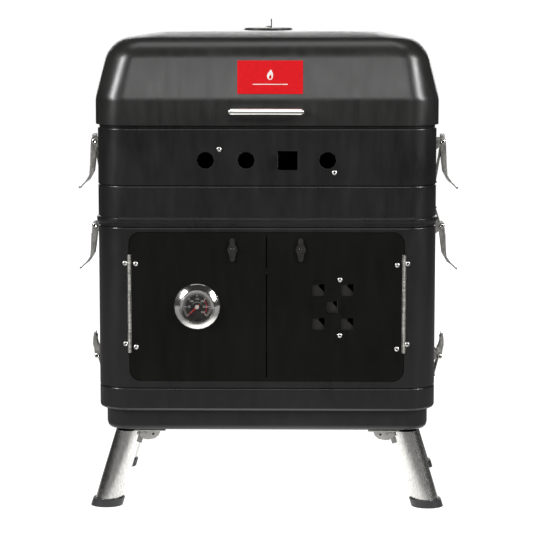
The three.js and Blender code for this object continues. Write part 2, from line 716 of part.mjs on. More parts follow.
const doorHinge = {
  length: HINGE.length,
  radius: HINGE.radius,
  pin: HINGE.pin,
  knuckles: HINGE.knuckles,
  width: HINGE.leafWidth,
};
const leafBack = SHEET + DOOR.proud + 1.5; // the body leaf lies clear of the curved corner
bothSides((side, group) => {
  const place = new THREE.Group();
  place.position.set(-HINGE_X, HINGE_Y, HINGE_Z);
  group.add(place);
  const bodyLeaf = hingeLeaf({
    ...doorHinge,
    width: HINGE.bodyLeaf,
    first: 0,
    out: [leafBack, leafBack + HINGE.leaf],
    start: 1.2,
  });
  const doorLeaf = hingeLeaf({
    ...doorHinge,
    first: 1,
    out: [DOOR.sheet + REST_GAP, DOOR.sheet + REST_GAP + HINGE.leaf],
    start: 1.7,
  });
  const fixed = toGeometry(toSolid(bodyLeaf).mirror([1, 0, 0]));
  add(`${side}_hinge_body_leaf`, fixed, PAINT.steel, place);
  add(`${side}_hinge_door_leaf`, doorLeaf, PAINT.steel, place);
  const pinRod = rodZ(HINGE.pin, 0, 0, -HINGE.length / 2, HINGE.length / 2, 8);
  add(`${side}_hinge_pin`, pinRod, PAINT.steel, place);
});

const LID_HINGE = { length: 220, radius: 3, pin: 1.4, knuckles: 5, leafWidth: 22, back: 5.6 };
const lidHingePlace = new THREE.Group();
lidHingePlace.position.set(0, BODY.depth / 2 + LID_HINGE.back, RIM_Z + LID_GAP / 2);
lidHingePlace.rotation.y = -Math.PI / 2;
smoker.add(lidHingePlace);
const lidLeafIn = -(LID_HINGE.back - LID_OVERHANG - REST_GAP);
const grillLeafIn = -(LID_HINGE.back - REST_GAP);
const rearHinge = { ...LID_HINGE, width: LID_HINGE.leafWidth };
add(
  "lid_hinge_lid_leaf",
  hingeLeaf({ ...rearHinge, first: 1, out: [lidLeafIn, lidLeafIn + SHEET], start: 3.6 }),
  PAINT.grey,
  lidHingePlace,
);
const grillLeaf = hingeLeaf({
  ...rearHinge,
  first: 0,
  out: [grillLeafIn, grillLeafIn + SHEET],
  start: 3.6,
});
add(
  "lid_hinge_body_leaf",
  toGeometry(toSolid(grillLeaf).mirror([1, 0, 0])),
  PAINT.grey,
  lidHingePlace,
);
add(
  "lid_hinge_pin",
  rodZ(LID_HINGE.pin, 0, 0, -LID_HINGE.length / 2, LID_HINGE.length / 2, 10),
  PAINT.steel,
  lidHingePlace,
);

// ---------------------------------------------------------------- doors
const DOOR_Y = [FRONT_Y - DOOR.proud, FRONT_Y - DOOR.proud + DOOR.sheet];
const doorPlate = () => {
  const r = DOOR.corner - DOOR.edgeGap;
  return roundedRect(
    -HINGE_X + DOOR.edgeGap / 2, -DOOR.middleGap / 2,
    DOOR_Z + DOOR.edgeGap, DOOR_TOP - DOOR.edgeGap,
    [r, 0, 0, r],
  );
};
const doorNotch = box(-HINGE_X - 5, -HINGE_X + 2.6, FRONT_Y - 5, FRONT_Y + 5, NOTCH[0], NOTCH[1]);
const wingHole = (x) => rodY(3.4, x, FRONT_Y - 5, FRONT_Y + 5, WING_Z, 12);
const STEM = 3;
const leftDoor = shape(
  [plateY(doorPlate(), ...DOOR_Y)],
  [doorNotch, wingHole(-WING.x), rodY(STEM + 1.5, DIAL_X, FRONT_Y - 5, FRONT_Y + 5, DIAL_Z, 14)],
);
add("left_door", leftDoor, PAINT.matt);

const portCentres = [[-1, 1], [1, 1], [0, 0], [-1, -1], [1, -1]];
const ports = portCentres.map(([sx, sz]) => {
  const x = PORT_X + sx * PORT.dx;
  const z = PORT_Z + sz * PORT.dz;
  const half = PORT.size / 2;
  return box(x - half, x + half, FRONT_Y - 5, FRONT_Y + 5, z - half, z + half);
});
const rightPlate = toGeometry(
  toSolid(plateY(doorPlate(), ...DOOR_Y)).subtract(toSolid(doorNotch)).mirror([1, 0, 0]),
);
add("right_door", shape([rightPlate], [wingHole(WING.x), ...ports]), PAINT.matt);

// The door's damper slides sideways behind it. Its diamond ports cross the door's square ones.
const DAMPER_Y = [DOOR_Y[1] + REST_GAP, DOOR_Y[1] + REST_GAP + 1.2];
const PORT_RIVETS = [[9.2, 35.2], [9.2, -36.5]];
const PORT_SLOT = 2.3;
const tabPiece = (y0, y1, z1) => box(PORT_X + 5.6, PORT_X + 6.8, y0, y1, PORT_Z - 7.2, PORT_Z + z1);
const damperPlate = shape(
  [
    plateY(
      roundedRect(PORT_X - 31, PORT_X + 46, PORT_Z - 43, PORT_Z + 43, [4, 4, 4, 4]),
      ...DAMPER_Y,
      3,
    ),
    tabPiece(DOOR_Y[0] - 5, DAMPER_Y[0] + 0.4, -2.2),
    tabPiece(DOOR_Y[0] - 5, DOOR_Y[0] - 0.8, 9),
  ],
  [
    ...portCentres.map(([sx, sz]) =>
      box(-PORT.size / 2, PORT.size / 2, -5, 5, -PORT.size / 2, PORT.size / 2)
        .rotateY(Math.PI / 4)
        .translate(
          PORT_X + sx * PORT.dx + PORT.offset[0],
          DAMPER_Y[0],
          PORT_Z + sz * PORT.dz + PORT.offset[1],
        ),
    ),
    ...PORT_RIVETS.map(([x, z]) =>
      box(
        PORT_X + x - PORT_SLOT, PORT_X + x + PORT.travel + PORT_SLOT,
        DAMPER_Y[0] - 1, DAMPER_Y[1] + 1,
        PORT_Z + z - PORT_SLOT, PORT_Z + z + PORT_SLOT,
      ),
    ),
  ],
);
add("door_damper", damperPlate, PAINT.grey);

// Turn latches: a wing outside on a shaft through the door, and a cam inside that turns up behind the
// frame's lip.
const wingOutline = () => {
  const tall = WING.length / 2;
  const wide = WING.width / 2;
  const neck = 3.4;
  const s = new THREE.Shape();
  s.moveTo(-neck, -tall + neck);
  s.absarc(0, -tall + neck, neck, Math.PI, 2 * Math.PI);
  s.quadraticCurveTo(neck, -tall * 0.42, wide, -1);
  s.quadraticCurveTo(wide, tall * 0.25, neck, tall * 0.42);
  s.lineTo(neck, tall - neck);
  s.absarc(0, tall - neck, neck, 0, Math.PI);
  s.lineTo(-neck, tall * 0.42);
  s.quadraticCurveTo(-wide, tall * 0.25, -wide, -1);
  s.quadraticCurveTo(-neck, -tall * 0.42, -neck, -tall + neck);
  return s;
};
const WING_Y = [DOOR_Y[0] - REST_GAP - 2.4, DOOR_Y[0] - REST_GAP];
const CAM = { length: 24, width: 9, y: [DOOR_Y[1] + 2.5, DOOR_Y[1] + 3.9] };
bothSides((side, group) => {
  const place = new THREE.Group();
  place.position.set(-WING.x, 0, WING_Z);
  group.add(place);
  add(
    `${side}_door_wing`,
    shape([plateY(wingOutline(), ...WING_Y, 4), rodY(3, 0, WING_Y[1] - 0.5, CAM.y[0] - REST_GAP, 0, 12)]),
    PAINT.grey,
    place,
  );
  add(
    `${side}_door_cam`,
    plateY(roundedRect(-4.5, CAM.length - 4.5, -CAM.width / 2, CAM.width / 2, [4, 2, 2, 4]), ...CAM.y, 4),
    PAINT.steel,
    place,
  );
});

// ---------------------------------------------------------------- thermometer on the left door
// Lathed about the door's normal: r is the radius and h the distance out from the door.
const lathe = (points, segments) =>
  new THREE.LatheGeometry(points.map(([r, h]) => new THREE.Vector2(r, h)), segments)
    .rotateX(Math.PI)
    .translate(DIAL_X, DOOR_Y[0] - REST_GAP, DIAL_Z);
const disc = (radius, h0, h1, segments = 24) =>
  rodY(radius, DIAL_X, DOOR_Y[0] - REST_GAP - h1, DOOR_Y[0] - REST_GAP - h0, DIAL_Z, segments);
const STEM_LENGTH = 52;
add(
  "thermometer_case",
  lathe([
    [0, -STEM_LENGTH], [STEM * 0.6, -STEM_LENGTH], [STEM, -STEM_LENGTH + 2], [STEM, 0],
    [DIAL.bezel, 0], [DIAL.bezel, 2], [DIAL.bezel - 1.4, 3.8], [22.5, 7.6], [20.6, 8.6],
    [DIAL.window, 8.2], [DIAL.window, 3], [0, 3],
  ], 24),
  PAINT.chrome,
);
add("thermometer_dial", shape([disc(DIAL.window - 0.3, 3.3, 3.9)], [disc(1.4, 2, 5, 10)]), PAINT.dial);
const POINTER_ANGLE = 133; // from straight up, towards the left: the cold end of the scale
const pointerOutline = new THREE.Shape([
  new THREE.Vector2(-1.1, -4),
  new THREE.Vector2(1.1, -4),
  new THREE.Vector2(0.9, 6),
  new THREE.Vector2(0.15, 15.5),
  new THREE.Vector2(-0.15, 15.5),
  new THREE.Vector2(-0.9, 6),
]);
const pointer = add(
  "thermometer_pointer",
  shape([plateY(pointerOutline, -0.3, 0.3), rodY(1.8, 0, -0.5, 0.5, 0, 10), rodY(0.9, 0, -0.5, 1.9, 0, 8)]),
  PAINT.red,
);
pointer.position.set(DIAL_X, DOOR_Y[0] - REST_GAP - 5.2, DIAL_Z);
pointer.rotation.y = THREE.MathUtils.degToRad(-POINTER_ANGLE);
add("thermometer_glass", disc(DIAL.window - 0.3, 6.4, 7.4), PAINT.glass);

// ---------------------------------------------------------------- folding legs
const PIVOT_Z = FLOOR_Z - LEG.pivotDrop;
const BRACKET = { plate: 1.5, cheek: 1.5, lug: 10.5, pin: 2.6, inner: 22, down: 6.5 };
const splay = THREE.MathUtils.degToRad(LEG.splay);
const far = 400;
// The tube's frame: the pivot is the origin and the tube hangs down, splayed towards -X.
const alongLeg = (geometry) => geometry.rotateY(splay).translate(-LEG_X, 0, PIVOT_Z);
// Long enough to run past the ground before it is cut level.
const legLength = PIVOT_Z / Math.cos(splay) + LEG.radius + FOOT.radius;
const slab = (z0, z1) => box(-far, far, -far, far, z0, z1);

// Both ends of the tube are level, as are the foot's sole and rim.
const legTube = () => {
  const top = FLOOR_Z - BRACKET.plate - 2 * REST_GAP;
  const tube = alongLeg(rodZ(LEG.radius, -LEG.offset, 0, -legLength, 60, 18));
  const bore = alongLeg(rodZ(LEG.radius - LEG.wall, -LEG.offset, 0, -legLength - 9, 70, 18));
  const ends = [slab(top, far), slab(-far, FOOT.floor)];
  const lugBlock = alongLeg(box(-LEG.offset + 12, 0, -BRACKET.lug + 0.3, BRACKET.lug - 0.3, -12, 5));
  const lugEnd = rodY(5.2, -LEG_X, -BRACKET.lug + 0.3, BRACKET.lug - 0.3, PIVOT_Z, 14);
  const bolt = rodY(BRACKET.pin + 0.2, -LEG_X, -50, 50, PIVOT_Z, 12);
  return shape([tube, lugBlock, lugEnd], [bore, ...ends, bolt]);
};
const legFoot = () => {
  const cap = alongLeg(rodZ(FOOT.radius, -LEG.offset, 0, -legLength, 0, 18));
  const socket = alongLeg(rodZ(LEG.radius + REST_GAP, -LEG.offset, 0, -legLength, 60, 18));
  const seat = shape([socket], [slab(-far, FOOT.floor - REST_GAP)]);
  return shape([cap], [slab(-far, 0), slab(FOOT.height, far), seat]);
};
const bracket = () => {
  const cheek = (y) => {
    const s = new THREE.Shape();
    const near = 4.9;
    s.moveTo(-near, 7);
    s.lineTo(-near, 0);
    s.absarc(0, 0, near, Math.PI, 1.35 * Math.PI);
    s.quadraticCurveTo(0, -BRACKET.down, 6, -BRACKET.down);
    s.quadraticCurveTo(BRACKET.inner - 2, -BRACKET.down, BRACKET.inner, 7);
    s.holes.push(new THREE.Path().absarc(0, 0, BRACKET.pin + 0.2, 0, 2 * Math.PI, true));
    return plateY(s, y, y + BRACKET.cheek, 3).translate(-LEG_X, 0, PIVOT_Z);
  };
  const pieces = [
    box(-LEG_X - 12, -LEG_X + BRACKET.inner + 6, -LEG_Y - 18, LEG_Y + 18,
      FLOOR_Z - REST_GAP - BRACKET.plate, FLOOR_Z - REST_GAP),
  ];
  for (const s of [-1, 1]) {
    pieces.push(cheek(s * LEG_Y + BRACKET.lug + REST_GAP));
    pieces.push(cheek(s * LEG_Y - BRACKET.lug - REST_GAP - BRACKET.cheek));
  }
  return shape(pieces);
};
bothSides((side, group) => {
  add(`${side}_leg_bracket`, bracket(), PAINT.steel, group);
  for (const [end, s] of [["front", -1], ["rear", 1]]) {
    const place = new THREE.Group();
    place.position.y = s * LEG_Y;
    group.add(place);
    add(`${side}_${end}_leg`, legTube(), PAINT.steel, place);
    add(`${side}_${end}_foot`, legFoot(), PAINT.rubber, place);
  }
});

// The origin is the middle of the whole part's footprint, on the ground.
const frontMost = lidFront - HANDLE.standOff - HANDLE.bar;
const rearMost = BODY.depth / 2 + LID_HINGE.back + LID_HINGE.radius;
smoker.position.y = -(frontMost + rearMost) / 2;

export default smoker;
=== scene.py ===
"""Looks for the portable stacked smoker: materials, fasteners, printing, badge, floor, lights and camera."""
import json
import math

import bmesh
import bpy
from mathutils import Matrix, Vector


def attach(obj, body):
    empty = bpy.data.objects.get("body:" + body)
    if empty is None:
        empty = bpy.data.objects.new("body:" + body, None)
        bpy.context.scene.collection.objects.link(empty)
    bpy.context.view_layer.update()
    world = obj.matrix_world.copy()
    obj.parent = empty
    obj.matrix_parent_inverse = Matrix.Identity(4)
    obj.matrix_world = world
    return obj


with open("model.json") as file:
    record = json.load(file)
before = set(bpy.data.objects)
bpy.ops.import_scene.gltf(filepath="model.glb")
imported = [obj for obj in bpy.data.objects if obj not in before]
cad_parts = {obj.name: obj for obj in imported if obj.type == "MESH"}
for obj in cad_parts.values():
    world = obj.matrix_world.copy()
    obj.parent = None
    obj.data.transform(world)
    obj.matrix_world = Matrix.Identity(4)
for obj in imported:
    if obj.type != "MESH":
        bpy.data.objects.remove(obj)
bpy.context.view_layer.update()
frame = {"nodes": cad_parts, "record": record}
MM = 0.001
scene = bpy.context.scene


# ------------------------------------------------------------------ materials
class Nodes:
    """A small helper that adds and joins shader nodes."""

    def __init__(self, name):
        self.mat = bpy.data.materials.new(name)
        self.mat.use_nodes = True
        self.tree = self.mat.node_tree
        self.bsdf = self.tree.nodes["Principled BSDF"]
        self.coords = self.new("ShaderNodeTexCoord")

    def new(self, kind, **values):
        node = self.tree.nodes.new(kind)
        for key, value in values.items():
            setattr(node, key, value)
        return node

    def link(self, a, b):
        self.tree.links.new(a, b)

    def scaled(self, scale):
        m = self.new("ShaderNodeMapping")
        m.inputs["Scale"].default_value = scale
        self.link(self.coords.outputs["Object"], m.inputs["Vector"])
        return m.outputs["Vector"]

    def noise(self, scale, detail=3.0, stretch=(1, 1, 1), roughness=0.55):
        n = self.new("ShaderNodeTexNoise")
        n.inputs["Scale"].default_value = scale
        n.inputs["Detail"].default_value = detail
        n.inputs["Roughness"].default_value = roughness
        self.link(self.scaled(stretch), n.inputs["Vector"])
        return n.outputs["Fac"]

    def ramp(self, fac, stops):
        r = self.new("ShaderNodeValToRGB")
        while len(r.color_ramp.elements) < len(stops):
            r.color_ramp.elements.new(0.5)
        for e, (pos, col) in zip(r.color_ramp.elements, stops):
            e.position = pos
            e.color = (*col, 1) if len(col) == 3 else col
        self.link(fac, r.inputs["Fac"])
        return r.outputs["Color"]

    def span(self, fac, low, high, a=0.3, b=0.7):
        m = self.new("ShaderNodeMapRange")
        m.inputs["From Min"].default_value = a
        m.inputs["From Max"].default_value = b
        m.inputs["To Min"].default_value = low
        m.inputs["To Max"].default_value = high
        self.link(fac, m.inputs["Value"])
        return m.outputs["Result"]

    def add(self, a, b, operation="ADD"):
        m = self.new("ShaderNodeMath", operation=operation)
        self.link(a, m.inputs[0])
        if isinstance(b, (int, float)):
            m.inputs[1].default_value = b
        else:
            self.link(b, m.inputs[1])
        return m.outputs[0]

    def bump(self, height, distance, strength=1.0):
        b = self.new("ShaderNodeBump")
        b.inputs["Strength"].default_value = strength
        b.inputs["Distance"].default_value = distance
        self.link(height, b.inputs["Height"])
        self.link(b.outputs["Normal"], self.bsdf.inputs["Normal"])

    def set(self, **values):
        for key, value in values.items():
            self.bsdf.inputs[key.replace("_", " ")].default_value = value

    def colour(self, socket):
        self.link(socket, self.bsdf.inputs["Base Color"])

    def rough(self, socket):
        self.link(socket, self.bsdf.inputs["Roughness"])


def paint(name, dark, light, rough, grain, bump, smudge=0.06, specular=0.5):
    """Baked-on paint: fine orange peel, a little cloudiness, faint rubbed streaks and specks of dust."""
    n = Nodes(name)
    cloud = n.noise(9, 4)
    peel = n.noise(grain, 2)
    streak = n.noise(30, 1, stretch=(3, 3, 0.7))
    dust = n.noise(1500, 1)
    wear = n.add(n.add(cloud, streak), 0.5, "MULTIPLY")
    base = n.ramp(wear, [(0.3, dark), (0.72, light)])
    speck = n.span(dust, 0.0, 1.0, 0.74, 0.8)
    mix = n.new("ShaderNodeMix", data_type="RGBA")
    n.link(speck, mix.inputs["Factor"])
    n.link(base, mix.inputs["A"])
    mix.inputs["B"].default_value = (light[0] * 3, light[1] * 3, light[2] * 3, 1)
    n.colour(mix.outputs["Result"])
    n.rough(n.span(wear, rough - smudge, rough + smudge))
    n.set(Specular_IOR_Level=specular)
    n.bump(peel, bump, 0.5)
    return n.mat


def steel(name, colour, rough, scratch=(1, 1, 1), scale=60, spread=0.08, bump=0.00003, tint=0.75):
    """Metal with a lay: stretched noise drives its colour, roughness and a very fine bump."""
    n = Nodes(name)
    lay = n.noise(scale, 5, stretch=scratch, roughness=0.7)
    cloud = n.noise(14, 3)
    n.colour(n.ramp(lay, [(0.25, tuple(c * tint for c in colour)), (0.75, colour)]))
    n.rough(n.span(n.add(n.add(lay, cloud), 0.5, "MULTIPLY"), max(rough - spread, 0.03), rough + spread))
    n.set(Metallic=1.0)
    n.bump(lay, bump, 0.6)
    return n.mat


def plastic(name, dark, light, rough, grain=900, bump=0.00006):
    n = Nodes(name)
    n.colour(n.ramp(n.noise(40, 4), [(0.3, dark), (0.7, light)]))
    n.rough(n.span(n.noise(grain * 0.2, 3), rough - 0.08, rough + 0.08))
    n.bump(n.noise(grain, 2), bump, 0.7)
    return n.mat


def plain_print(name, colour, rough=0.5, specular=0.35):
    n = Nodes(name)
    n.set(Specular_IOR_Level=specular)
    n.colour(n.ramp(n.noise(300, 2), [(0.3, tuple(c * 0.88 for c in colour)), (0.7, colour)]))
    n.rough(n.span(n.noise(500, 2), rough - 0.06, rough + 0.06))
    return n.mat


M = {
    "satin": paint(
        "satin_black",
        dark=(0.0076, 0.0076, 0.0080),
        light=(0.0130, 0.0127, 0.0130),
        rough=0.30,
        grain=1100,
        bump=0.00006,
        smudge=0.05,
        specular=0.5,
    ),
    # A lighter copy of the satin black paint for the lid: painted light that stands in for the extra light
    # its leaning face catches.
    "lid": paint(
        "satin_black_lid_painted_light",
        dark=(0.0125, 0.012, 0.0115),
        light=(0.0205, 0.0198, 0.0190),
        rough=0.31,
        grain=1000,
        bump=0.00007,
        smudge=0.05,
        specular=0.6,
    ),
    "matt": paint(
        "matt_black",
        dark=(0.0032, 0.0033, 0.0027),
        light=(0.0058, 0.0058, 0.0048),
        rough=0.5,
        grain=1500,
        bump=0.00008,
        smudge=0.05,
        specular=0.12,
    ),
    "enamel": paint(
        "black_enamel",
        dark=(0.010, 0.010, 0.011),
        light=(0.018, 0.018, 0.019),
        rough=0.16,
        grain=200,
        bump=0.00003,
        smudge=0.04,
    ),
    "damper": paint(
        "damper_plate",
        dark=(0.013, 0.0125, 0.0105),
        light=(0.021, 0.0195, 0.017),
        rough=0.45,
        grain=1500,
        bump=0.00008,
        smudge=0.05,
        specular=0.3,
    ),
    "wire": steel("plated_wire", (0.72, 0.71, 0.68), 0.2, scale=120),
    "dark_zinc": steel("dark_zinc", (0.085, 0.083, 0.078), 0.42, scale=150, spread=0.1),
    "zinc": steel("zinc_steel", (0.8, 0.785, 0.74), 0.42, scale=110, spread=0.1),
    "polished": steel(
        "polished_steel", (0.78, 0.765, 0.73), 0.13, scale=260, spread=0.05, bump=0.00001, tint=0.9
    ),
    "chrome": steel(
        "latch_plate",
        (0.95, 0.93, 0.88),
        0.36,
        scratch=(1, 1, 0.35),
        scale=260,
        spread=0.1,
        bump=0.00008,
        tint=0.35,
    ),
    "leg": steel(
        "brushed_leg",
        (0.74, 0.73, 0.70),
        0.24,
        scratch=(1, 1, 0.3),
        scale=520,
        spread=0.09,
        bump=0.00006,
        tint=0.5,
    ),
    "hinge": steel(
        "hinge_steel",
        (0.98, 0.96, 0.90),
        0.5,
        scratch=(0.2, 0.2, 1),
        scale=420,
        spread=0.08,
        bump=0.00005,
        tint=0.22,
    ),
    "rivet": steel("rivet_steel", (0.85, 0.83, 0.79), 0.32, scale=300, spread=0.08),
    "foot": plastic("foot_plastic", dark=(0.012, 0.012, 0.013), light=(0.022, 0.022, 0.024), rough=0.5),
    "dial": plastic(
        "dial_black",
        dark=(0.006, 0.006, 0.006),
        light=(0.012, 0.012, 0.012),
        rough=0.45,
        grain=700,
        bump=0.00002,
    ),
    # Near-black painted shade, used only for the discs set in rivet bores and bracket holes.
    "dark": plastic("painted_hole_shade", dark=(0.004, 0.004, 0.004), light=(0.009, 0.009, 0.009), rough=0.6),
    "white": plain_print("print_white", (0.78, 0.77, 0.74)),
    "red": plain_print("print_red", (0.62, 0.022, 0.02), rough=0.4),
    "badge": plain_print("badge_red", (0.64, 0.005, 0.009), rough=0.5, specular=0.12),
}


def make_glass():
    n = Nodes("dial_glass")
    n.colour(n.ramp(n.noise(20, 2), [(0.0, (0.96, 0.97, 0.97)), (1.0, (1, 1, 1))]))
    n.rough(n.span(n.noise(60, 4), 0.0, 0.04))
    n.set(Transmission_Weight=1.0, IOR=1.05)
    return n.mat


M["glass"] = make_glass()

LOOK = {
    "satin_black_paint": "satin",
    "matt_black_paint": "matt",
    "black_enamel": "enamel",
    "plated_wire": "wire",
    "dark_zinc": "dark_zinc",
    "zinc_steel": "zinc",
    "polished_steel": "polished",
    "dial_black": "dial",
    "pointer_red": "red",
    "clear_glass": "glass",
    "latch_chrome": "chrome",
    "brushed_leg_steel": "leg",
    "black_foot_plastic": "foot",
}
SLOT_OF = {s["node"]: s["material_slot"] for s in frame["record"]["subparts"]}


def soften(obj, angle=32):
    """Smooth faces that stay crisp at real edges."""
    if "custom_normal" in obj.data.attributes:
        obj.data.attributes.remove(obj.data.attributes["custom_normal"])
    obj.data.shade_smooth()
    weld = obj.modifiers.new("weld", "WELD")
    weld.merge_threshold = 1e-5
    split = obj.modifiers.new("split", "EDGE_SPLIT")
    split.split_angle = math.radians(angle)
    split.use_edge_sharp = False
    normal = obj.modifiers.new("normals", "WEIGHTED_NORMAL")
    normal.mode = "FACE_AREA"
    normal.weight = 80


for name, node in frame["nodes"].items():
    look = LOOK[SLOT_OF[name]]
    # The lid takes the lighter copy of the satin paint, as painted light.
    if name == "lid":
        look = "lid"
    elif name == "door_damper":
        look = "damper"
    elif name.endswith("_hinge_pin") or name.endswith("_leaf") and "lid" not in name:
        look = "hinge"
    node.data.materials.clear()
    node.data.materials.append(M[look])
    soften(node)


# ------------------------------------------------------------------ pieces
def piece(name, verts, faces, look, body, slot, smooth=True, angle=32):
    mesh = bpy.data.meshes.new(name)
    mesh.from_pydata([Vector(v) * MM for v in verts], [], faces)
    bm = bmesh.new()
    bm.from_mesh(mesh)
    bmesh.ops.recalc_face_normals(bm, faces=bm.faces)
    bm.to_mesh(mesh)
    bm.free()
    obj = bpy.data.objects.new(name, mesh)
    scene.collection.objects.link(obj)
    mesh.materials.append(M[look])
    if smooth:
        soften(obj, angle)
    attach(obj, body)
    return obj


def facing(at, direction):
    """Turns a shape drawn along +Z so that it stands at a point along a direction."""
    return Matrix.Translation(Vector(at)) @ Vector(direction).to_track_quat("Z", "Y").to_matrix().to_4x4()


def turned(profile, segments, place):
    """Vertices and faces of an (r, height) profile turned about its own axis and put in place."""
    verts, faces, rows = [], [], []
    for r, h in profile:
        if r < 1e-6:
            rows.append([len(verts)])
            verts.append(place @ Vector((0, 0, h)))
        else:
            rows.append(list(range(len(verts), len(verts) + segments)))
            for i in range(segments):
                a = 2 * math.pi * i / segments
                verts.append(place @ Vector((r * math.cos(a), r * math.sin(a), h)))
    for a, b in zip(rows, rows[1:]):
        for i in range(segments):
            j = (i + 1) % segments
            if len(a) == 1 and len(b) > 1:
                faces.append((a[0], b[i], b[j]))
            elif len(b) == 1 and len(a) > 1:
                faces.append((a[i], a[j], b[0]))
            elif len(a) > 1:
                faces.append((a[i], a[j], b[j], b[i]))
    return verts, faces


def joined(parts):
    verts, faces = [], []
    for v, f in parts:
        base = len(verts)
        verts += list(v)
        faces += [tuple(i + base for i in face) for face in f]
    return verts, faces


def prism(outline, h0, h1, place):
    n = len(outline)
    verts = [place @ Vector((x, y, h)) for h in (h0, h1) for x, y in outline]
    faces = [tuple(range(n)), tuple(range(n, 2 * n))]
    faces += [(i, (i + 1) % n, n + (i + 1) % n, n + i) for i in range(n)]
    return verts, faces


def rounded(w, h, r, steps=5):
    points = []
    for cx, cy, start in ((1, 1, 0), (-1, 1, 1), (-1, -1, 2), (1, -1, 3)):
        for i in range(steps + 1):
            a = (start + i / steps) * math.pi / 2
            points.append((cx * (w / 2 - r) + r * math.cos(a), cy * (h / 2 - r) + r * math.sin(a)))
    return points


# Places in millimetres, from the frame's joints and the body's sizes.
JOINTS = {joint["name"]: joint for joint in frame["record"]["behaviour"]["joints"]}


def pivot(joint):
    return Vector(JOINTS[joint]["pos_m"]) / MM


SIDES = (("left", -1), ("right", 1))
LATCHES = ("upper", "middle", "lower")
MIDDLE_Y = pivot("lid_damper_turn").y
BODY_DEPTH = 300
SIDE_X = 217
SHEET = 1.5
FRONT = MIDDLE_Y - BODY_DEPTH / 2
BACK = MIDDLE_Y + BODY_DEPTH / 2
DOOR = FRONT - 0.6  # the doors stand a little proud of the body
DIAL_X, DIAL_Z = pivot("thermometer_needle").x, pivot("thermometer_needle").z
WING = pivot("right_door_latch_turn")
OUT = (0, -1, 0)

# Radius and height along the section of a tubular rivet's rolled head.
RIVET_DOME = [
    (0, 0.1),
    (1.05, 0.1),
    (1.2, 1.2),
    (1.7, 1.45),
    (2.5, 1.2),
    (3.1, 0.62),
    (3.25, 0.05),
    (3.25, -0.25),
]
# Radius and depth of the near-black disc in each rivet's bore: painted shade for the hollow.
RIVET_BORE = 1.12
BORE_DEPTH = 0.55


def rivets(name, places, body, slot, size=1.0, look="rivet"):
    """Tubular rivets: a rolled ring, with a near-black disc of painted shade in the bore."""
    parts, bore_shades = [], []
    for at, direction in places:
        place = facing(at, direction)
        parts.append(turned([(r * size, h * size) for r, h in RIVET_DOME], 24, place))
        bore_shades.append(turned([(0, BORE_DEPTH * size), (RIVET_BORE * size, BORE_DEPTH * size)], 24, place))
    # Except on the painted plugs, each bore holds a near-black disc of painted shade.
    if look != "satin":
        piece(f"{name}_bores", *joined(bore_shades), "dark", body, slot, smooth=False)
    return piece(name, *joined(parts), look, body, slot)


# Rivets of the door hinges, set by hand and so a little uneven.
# Each row has its distance from the hinge's pin and its two heights.
HINGE_X = pivot("right_door_hinge").x
BODY_ROWS = {"left": 5.1, "right": 4.4}
BODY_ROW_HEIGHTS = (321.4, 217.6)
DOOR_ROWS = {"left": (8.4, (320.8, 213.4)), "right": (8.8, (319.6, 211.6))}
body_row = [
    ((s * (HINGE_X + BODY_ROWS[side]), FRONT, z), OUT) for side, s in SIDES for z in BODY_ROW_HEIGHTS
]
rivets("hinge_rivets_body", body_row, "body", "zinc_steel")
for side, s in SIDES:
    inwards, heights = DOOR_ROWS[side]
    places = [((s * (HINGE_X - inwards), DOOR, z), OUT) for z in heights]
    rivets(f"hinge_rivets_{side}_door", places, f"{side}_door", "zinc_steel")

# Two rivets that the vent's strip slides on, and two that the door's damper slides on.
VENT_Z = 452.6
VENT_RIVETS = ((-59.8, VENT_Z + 14.4), (86.1, VENT_Z - 15.1))
DAMPER_RIVETS = ((93.7, 300.7), (93.7, 229.0))
rivets("vent_rivets", [((x, FRONT, z), OUT) for x, z in VENT_RIVETS], "body", "zinc_steel", size=1.05)
rivets("door_damper_rivets", [((x, DOOR, z), OUT) for x, z in DAMPER_RIVETS], "right_door", "zinc_steel")

# Rivets of each latch's base, as distances from the lever's pivot along the base.
BASE_RIVETS = {"upper": (-14, -33), "middle": (-14, -33), "lower": (15.5,)}
BASE_FACE = SIDE_X + 1.7
PLUG_Y, PLUG_Z = -62, 317  # a blanked hole in the chamber's side walls
for side, s in SIDES:
    places = []
    for latch in LATCHES:
        z = pivot(f"{side}_{latch}_lever_turn").z
        places += [((s * BASE_FACE, MIDDLE_Y, z + rise), (s, 0, 0)) for rise in BASE_RIVETS[latch]]
    rivets(f"{side}_latch_rivets", places, "body", "latch_chrome", 0.95)
    rivets(
        f"{side}_wall_plug",
        [((s * SIDE_X, PLUG_Y, PLUG_Z), (s, 0, 0))],
        "body",
        "satin_black_paint",
        1.25,
        "satin",
    )

# Rolled heads on the ends of the pins that the latch levers turn on.
PIN_END = 13.7
for side, s in SIDES:
    for latch in LATCHES:
        at = pivot(f"{side}_{latch}_lever_turn")
        heads = [((at.x, at.y + t * PIN_END, at.z), (0, t, 0)) for t in (-1, 1)]
        rivets(f"{side}_{latch}_pin_heads", heads, f"{side}_{latch}_lever", "latch_chrome", 1.15, "polished")

# Rivets of the lid's hinge at the back.
LID_HINGE_RIVETS = (-88, -44, 0, 44, 88)
LID_ROW_Z = 514
BODY_ROW_Z = 477
rivets(
    "lid_hinge_rivets_lid",
    [((x, BACK + 4.3, LID_ROW_Z), (0, 1, 0)) for x in LID_HINGE_RIVETS],
    "lid",
    "zinc_steel",
    0.9,
)
rivets(
    "lid_hinge_rivets_body",
    [((x, BACK + 1.8, BODY_ROW_Z), (0, 1, 0)) for x in LID_HINGE_RIVETS],
    "body",
    "zinc_steel",
    0.9,
)


# Bolts that the legs turn on, with a hexagon head at one end and a nut at the other.
def hexagon(size):
    return [(size * math.cos(math.pi * i / 3), size * math.sin(math.pi * i / 3)) for i in range(6)]


